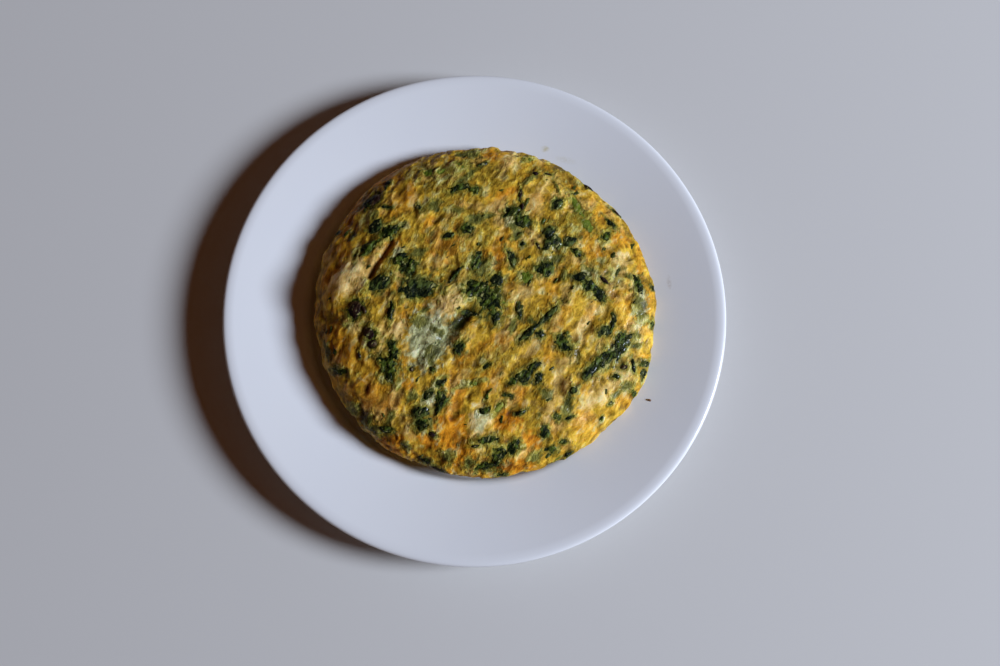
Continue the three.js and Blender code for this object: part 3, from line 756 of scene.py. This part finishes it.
# in mm, proud is how high the middle stands, sunk how far the edge drops below that, and crumple how high
# the folds are; spread makes up for the edge that the egg covers
leafKinds = {
    "spinachBits": {
        "spots": spinachLeaves, "proud": 0.50, "sunk": 1.4, "crumple": 0.7, "lobed": 1.3, "spread": 1.45,
        "leaf": (0.002, 0.006, 0.0005, 1), "second": (0.070, 0.105, 0.012, 1), "edge": (0.15, 0.16, 0.03, 1),
        "wetness": 0.6,
    },
    "wetBits": {
        "spots": wetLeaves, "proud": 0.85, "sunk": 1.6, "crumple": 0.30, "lobed": 0.5, "spread": 1.30,
        "leaf": (0.002, 0.006, 0.002, 1), "second": (0.060, 0.085, 0.018, 1), "edge": (0.13, 0.14, 0.03, 1),
        "wetness": 0.8,
    },
    "purpleBits": {
        "spots": purpleLeaves, "proud": 0.85, "sunk": 1.6, "crumple": 0.20, "lobed": 0.35, "spread": 1.15,
        "leaf": (0.010, 0.003, 0.003, 1), "second": (0.045, 0.020, 0.014, 1), "edge": (0.09, 0.06, 0.016, 1),
        "wetness": 0.6,
    },
    "herbBits": {
        "spots": herbPieces, "proud": 0.45, "sunk": 1.3, "crumple": 0.5, "lobed": 0.8, "spread": 1.45,
        "leaf": (0.085, 0.12, 0.008, 1), "second": (0.24, 0.26, 0.035, 1), "edge": (0.30, 0.29, 0.05, 1),
        "wetness": 0.3,
    },
}
leafForm = {
    "cell": 0.5, "thickness": 0.4,  # mm, the steps of its grid and how thick it is
    "innermost": 0.985, "outermost": 1.08,  # shares of the outline for its middle and for its edge
    "broadLobes": 1.2, "broadShare": 0.6, "fineLobes": 2.8, "fineShare": 0.4, "lobeLimits": (0.6, 1.35),
    "edgePower": 2.8,  # how late towards its edge a leaf drops
    "broadCrumple": 2.2, "fineCrumple": 1.1, "fineCrumpleShare": 0.5,
    "phase": (1.7, 0.6, 0.3),  # moves the noise on from leaf to leaf
}
leafLook = {
    "grains": {"Cell": (2.6, 1.8, 3, 0.5), "Fine": (0.9, 1.8, 2), "Strand": (1.8, 2.2, 3, 0.6)},
    "cells": (0.50, 0.62), "veins": (0.022, 0.0, 0, 0.45),
    "clinging": (0.60, 0.68, 0, 0.85), "clingingEgg": (0.34, 0.32, 0.11, 1),
    "rimRagged": (0.3, 0.7, -0.4, 0.4), "rim": (0.68, 1.1, 0, 0.9),
    "roughness": (0.40, 0.60, 0.6, 0.35), "wet": (0.54, 0.66), "coatRoughness": 0.21, "specular": 0.06,
    "fineBump": 0.4, "bumpDepth": 0.0012,
}


def makeLeafGroup():  # two greens in cells, pale veins and rim, and bits of egg that cling to it
    look = leafLook
    inputs = {"Cell": "Float", "Fine": "Float", "Strand": "Float", "Rim": "Float",
              "Leaf": "Color", "Second": "Color", "Edge": "Color", "Wetness": "Float"}
    outputs = {"Colour": "Color", "Roughness": "Float", "Wet": "Float", "Height": "Float"}
    group, given = newGroup("wiltedLeaf", inputs, outputs)
    colour = mixColour(group, mapValue(group, given["Cell"], *look["cells"]), given["Leaf"], given["Second"])
    vein = mathNode(group, "ABSOLUTE", mathNode(group, "SUBTRACT", given["Strand"], 0.5), 0)
    colour = mixColour(group, mapValue(group, vein, *look["veins"]), colour, given["Edge"])
    clinging = mapValue(group, given["Strand"], *look["clinging"])
    colour = mixColour(group, clinging, colour, look["clingingEgg"])
    rim = mathNode(group, "ADD", given["Rim"], mapValue(group, given["Cell"], *look["rimRagged"]))
    addNode(group, "NodeGroupOutput", {
        "Colour": mixColour(group, mapValue(group, rim, *look["rim"]), colour, given["Edge"]),
        "Roughness": mapValue(group, given["Cell"], *look["roughness"]),
        "Wet": mapValue(group, given["Fine"], *look["wet"], 0, given["Wetness"]),
        "Height": weightedSum(group, [(given["Cell"], 1), (given["Fine"], look["fineBump"])]),
    })
    return group


leafGroup = makeLeafGroup()


def makeLeafMaterial(name, kind):
    material, tree, shader = newMaterial(name)
    place = objectPlace(tree)
    grains = {grain: grainNoise(tree, place, *size) for grain, size in leafLook["grains"].items()}
    leaf = addNode(tree, "ShaderNodeGroup", grains | {
        "Rim": readValue(tree, "rim"), "Leaf": kind["leaf"], "Second": kind["second"], "Edge": kind["edge"],
        "Wetness": kind["wetness"],
    }, node_tree=leafGroup).outputs
    setInputs(tree, shader, {
        "Base Color": leaf["Colour"], "Roughness": leaf["Roughness"], "Coat Weight": leaf["Wet"],
        "Coat Roughness": leafLook["coatRoughness"], "Specular IOR Level": leafLook["specular"],
        "Normal": bumpNode(tree, leaf["Height"], 1.0, leafLook["bumpDepth"]),
    })
    return material


def softPoint(x, y):  # the egg's form without its fine folds, so that strands of egg cross the leaves
    point = eggPoint(wayAt(x, y), math.atan2(y, x))
    return point + outward(point) * bigRelief(point)


def leafAxes(spot):  # the middle of a leaf on the egg, and the ways in which it is long and wide
    x, y, length, width, turn = spot
    reach = math.hypot(x, y) / outlineAt(math.atan2(y, x))
    if reach > leafForm["innermost"]:
        x, y = x * leafForm["innermost"] / reach, y * leafForm["innermost"] / reach
    centre = softPoint(x, y)
    normal = outward(centre)
    along = Vector((math.cos(math.radians(turn)), math.sin(math.radians(turn)), 0))
    along = (along - normal * along.dot(normal)).normalized()
    return centre, along, normal.cross(along)


def addLeaf(bm, spot, kind, seed, cell):
    form = leafForm
    rim = bm.verts.layers.float["rim"]
    length, width = spot[2:4]
    centre, along, across = leafAxes(spot)
    steps = (max(4, round(length / cell)), max(3, round(width / cell)))
    patch = bmesh.ops.create_grid(bm, x_segments=steps[0], y_segments=steps[1], size=1)["verts"]
    phase = Vector([seed * step for step in form["phase"]])
    lobeLow, lobeHigh = form["lobeLimits"]
    for vert in patch:
        u, v = onDisc(vert.co.x, vert.co.y)
        share = math.hypot(u, v)
        vert[rim] = share
        way = Vector((u, v, 0)).normalized() if share > 1e-5 else Vector((1, 0, 0))
        lobes = form["broadShare"] * noise.noise(way * form["broadLobes"] + phase)
        lobes += form["fineShare"] * noise.noise(way * form["fineLobes"] + phase)
        size = min(lobeHigh, max(lobeLow, 1 + kind["lobed"] * lobes)) * kind["spread"] / 2
        flat = centre + (along * u * length + across * v * width) * size
        reach = math.hypot(flat.x, flat.y) / outlineAt(math.atan2(flat.y, flat.x))
        flat /= max(1, reach / form["outermost"])
        crumple = noise.noise(flat / form["broadCrumple"] + phase)
        crumple += form["fineCrumpleShare"] * noise.noise(flat / form["fineCrumple"] - phase)
        lift = kind["proud"] - kind["sunk"] * share ** form["edgePower"] + kind["crumple"] * crumple
        here = softPoint(flat.x, flat.y)
        vert.co = here + outward(here) * lift


def thicken(bm, thickness):  # the sheet's other side, so far below it
    made = bmesh.ops.extrude_face_region(bm, geom=list(bm.faces), use_keep_orig=True)["geom"]
    for item in made:
        if isinstance(item, bmesh.types.BMVert):
            item.co -= outward(item.co) * thickness
    bmesh.ops.recalc_face_normals(bm, faces=bm.faces)


def makeLeafPiece(name, kind, spots, firstSeed, cell, thickness):
    bm = bmesh.new()
    bm.verts.layers.float.new("rim")  # 0 in the middle of a leaf, 1 at its edge
    for seed, spot in enumerate(spots, firstSeed):
        addLeaf(bm, spot, kind, seed, cell)
    thicken(bm, thickness)
    placeEgg(bm)
    piece = addPiece(name, bm, makeLeafMaterial(name, kind))
    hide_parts("omelette")


def makeLeaves():
    for name, kind in leafKinds.items():
        makeLeafPiece(name, kind, kind["spots"], len(name), leafForm["cell"], leafForm["thickness"])


specks = {  # small bits between the leaves
    "count": 80, "seed": 7, "size": (2.5, 6.0), "slim": (0.3, 0.55), "turnSpread": 22, "reach": 0.97,
    "cell": 0.7, "thickness": 0.3, "proud": 0.35, "sunk": 1.1, "crumple": 0.7, "lobed": 1.6, "spread": 1.45,
    "leaf": (0.030, 0.038, 0.005, 1), "second": (0.07, 0.08, 0.010, 1), "edge": (0.14, 0.13, 0.018, 1),
    "wetness": 0.4,
}


def makeSpecks():
    drawn = random.Random(specks["seed"])
    smallest, largest = specks["size"]
    spots = []
    for count in range(specks["count"]):
        angle = drawn.uniform(0, 2 * math.pi)
        reach = outlineAt(angle) * (drawn.uniform(0, 1) ** 0.5 * specks["reach"])
        length = smallest + (largest - smallest) * drawn.random() ** 2
        width = length * drawn.uniform(*specks["slim"])
        turn = drawn.gauss(egg["grain"], specks["turnSpread"])
        spots.append((reach * math.cos(angle), reach * math.sin(angle), length, width, turn))
    makeLeafPiece("greenSpecks", specks, spots, 0, specks["cell"], specks["thickness"])


# crumb: one toasted crumb that fell on the rim

crumb = {
    "at": (93.2, -47.3), "size": (2.1, 1.1, 0.6), "turn": -25,  # mm and degrees
    "standing": 0.4,  # its middle over the glaze, as a share of its height
    "lumpy": 0.35, "lumps": 1.5, "colour": (0.10, 0.035, 0.012, 1), "second": (0.22, 0.10, 0.03, 1),
    "grainScale": 1500, "roughness": 0.6,
}


def crumbHeight():  # on the slope of the rim
    rimEnd = plateHigh.x / mm - plate["crestTurn"]
    level = (math.hypot(*crumb["at"]) - plate["rimStart"]) / (rimEnd - plate["rimStart"])
    glaze = plate["rimStartHeight"] + (plateHigh.z / mm - plate["rimStartHeight"]) * level
    return (glaze + crumb["size"][2] * crumb["standing"]) * mm


def makeCrumb():
    bm = bmesh.new()
    bmesh.ops.create_icosphere(bm, subdivisions=3, radius=1)
    for vert in bm.verts:
        vert.co *= 1 + crumb["lumpy"] * noise.noise(vert.co * crumb["lumps"])
        vert.co = Vector([a * b * mm / 2 for a, b in zip(vert.co, crumb["size"])])
    place = Matrix.Translation((crumb["at"][0] * mm, crumb["at"][1] * mm, crumbHeight()))
    turned = place @ Matrix.Rotation(math.radians(crumb["turn"]), 4, "Z")
    bmesh.ops.transform(bm, matrix=turned, verts=bm.verts)
    material, tree, shader = newMaterial("toastedCrumb")
    grain = addNode(tree, "ShaderNodeTexNoise",
                    {"Vector": objectPlace(tree), "Scale": crumb["grainScale"], "Detail": 2})
    tint = mixColour(tree, grain.outputs["Fac"], crumb["colour"], crumb["second"])
    setInputs(tree, shader, {"Base Color": tint, "Roughness": crumb["roughness"]})
    addPiece("crumb", bm, material)


# floor, light and camera

studio = {
    "floor": (0.62, 0.60, 0.57, 1), "floorHalf": 1.6, "floorRoughness": 0.8,
    "keyPower": 262, "keySize": 1.57, "keyDistance": 4.5, "keyAzimuth": -7, "keyHeight": 31.8,
    "keyColour": (0.89, 1.0, 1.2), "fill": (0.055, 0.022, 0.009, 1), "fillStrength": 1.0,
}
viewpoint = {
    "aim": (0.01374, -0.01164, 0.020), "distance": 0.7414,  # metres
    "azimuth": -90, "height": 77.91, "lens": 50, "sensor": 36,  # degrees, and mm for the lens
}


def direction(azimuth, height):
    turn, rise = math.radians(azimuth), math.radians(height)
    return Vector((math.cos(rise) * math.cos(turn), math.cos(rise) * math.sin(turn), math.sin(rise)))


def makeStudio():
    bm = bmesh.new()
    bmesh.ops.create_grid(bm, x_segments=8, y_segments=8, size=studio["floorHalf"])
    mesh = bpy.data.meshes.new("floor")
    bm.to_mesh(mesh)
    bm.free()
    floor = bpy.data.objects.new("floor", mesh)
    bpy.context.scene.collection.objects.link(floor)
    material, tree, shader = newMaterial("paleFloor")
    setInputs(tree, shader, {"Base Color": studio["floor"], "Roughness": studio["floorRoughness"]})
    mesh.materials.append(material)
    key = bpy.data.lights.new("key", "AREA")
    key.energy, key.size, key.color = studio["keyPower"], studio["keySize"], studio["keyColour"]
    key.shape = "DISK"
    lamp = bpy.data.objects.new("key", key)
    bpy.context.scene.collection.objects.link(lamp)
    toward = direction(studio["keyAzimuth"], studio["keyHeight"])
    lamp.location = toward * studio["keyDistance"]
    lamp.rotation_euler = toward.to_track_quat("Z", "Y").to_euler()
    world = bpy.data.worlds.new("room")
    bpy.context.scene.world = world
    world.use_nodes = True
    background = world.node_tree.nodes["Background"]
    setInputs(world.node_tree, background, {"Color": studio["fill"], "Strength": studio["fillStrength"]})
    print("floor and light are set")


def makeCamera():
    camera = bpy.data.cameras.new("camera")
    camera.lens, camera.sensor_width = viewpoint["lens"], viewpoint["sensor"]
    eye = bpy.data.objects.new("camera", camera)
    bpy.context.scene.collection.objects.link(eye)
    toward = direction(viewpoint["azimuth"], viewpoint["height"])
    eye.location = Vector(viewpoint["aim"]) + toward * viewpoint["distance"]
    eye.rotation_euler = toward.to_track_quat("Z", "Y").to_euler()
    bpy.context.scene.camera = eye
    bpy.context.scene.view_settings.view_transform = "Standard"
    print("camera is set")


makePlate()
makeEgg()
makeLeaves()
makeSpecks()
makeCrumb()
makeStudio()
makeCamera()
